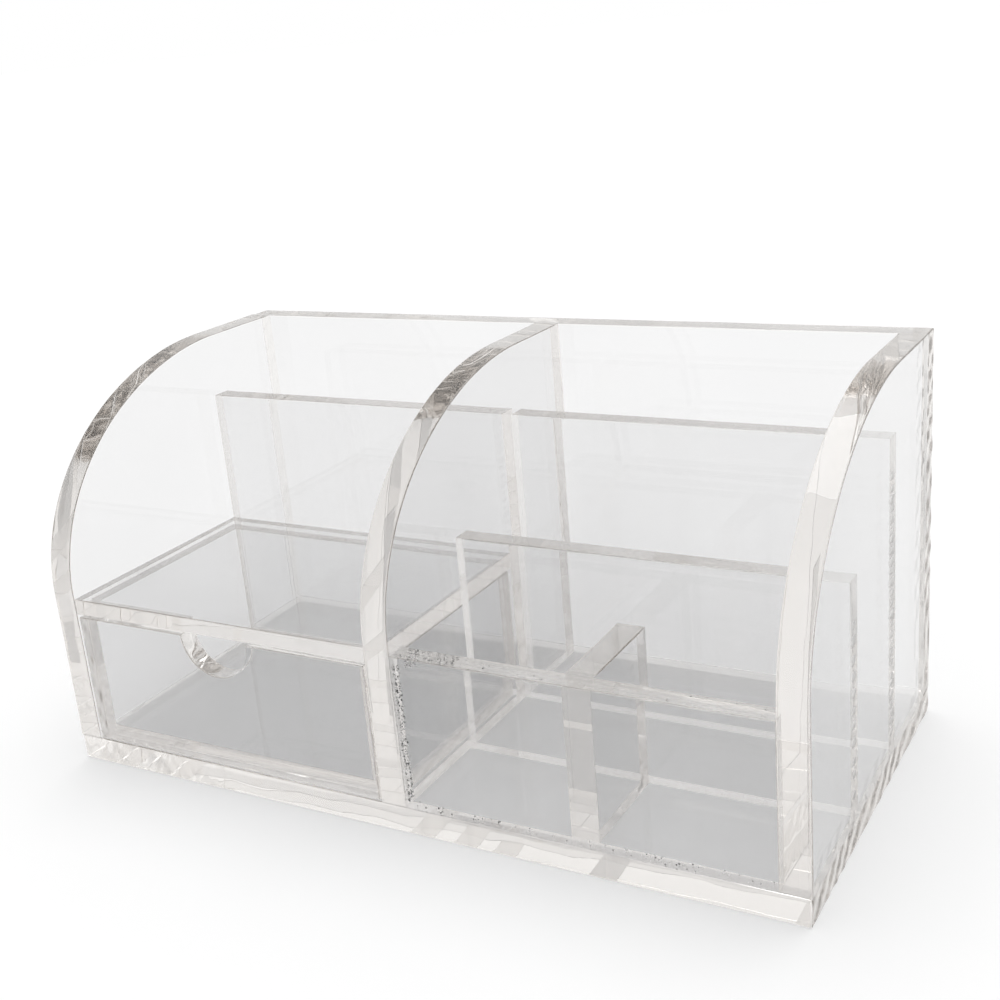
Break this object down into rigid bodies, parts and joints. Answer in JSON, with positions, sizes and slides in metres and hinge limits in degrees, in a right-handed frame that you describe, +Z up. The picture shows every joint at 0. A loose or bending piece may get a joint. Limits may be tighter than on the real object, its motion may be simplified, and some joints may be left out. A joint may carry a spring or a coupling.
{
  "type": "desk organizer",
  "caption": "Clear acrylic desk organizer with curved upright boards, a card shelf over a pull-out drawer, open bins and upright pad and pen slots.",
  "frame": {"origin": "middle of the underside of the base board, on the surface the organizer stands on", "axes": "+X to the right along the width, seen from the front; +Y from the front to the back; +Z up"},
  "size_m": [0.29, 0.146, 0.1465],
  "materials": {
    "carcass_acrylic": "clear cast acrylic, flame-polished edges",
    "drawer_acrylic": "clear cast acrylic, flame-polished edges"
  },
  "bodies": {
    "carcass": {"base_plate": "carcass_acrylic", "back_panel": "carcass_acrylic", "left_side": "carcass_acrylic", "centre_panel": "carcass_acrylic", "right_side": "carcass_acrylic", "drawer_shelf": "carcass_acrylic", "left_rear_divider": "carcass_acrylic", "right_rear_divider": "carcass_acrylic", "middle_divider": "carcass_acrylic", "bin_front": "carcass_acrylic", "bin_divider": "carcass_acrylic"},
    "drawer": {"drawer_front": "drawer_acrylic", "drawer_left_wall": "drawer_acrylic", "drawer_right_wall": "drawer_acrylic", "drawer_back": "drawer_acrylic", "drawer_bottom": "drawer_acrylic"}
  },
  "joints": [
    {"name": "drawer_slide", "type": "slide", "parent": "carcass", "child": "drawer", "axis": [0, -1, 0], "range_m": [0, 0.08]}
  ]
}
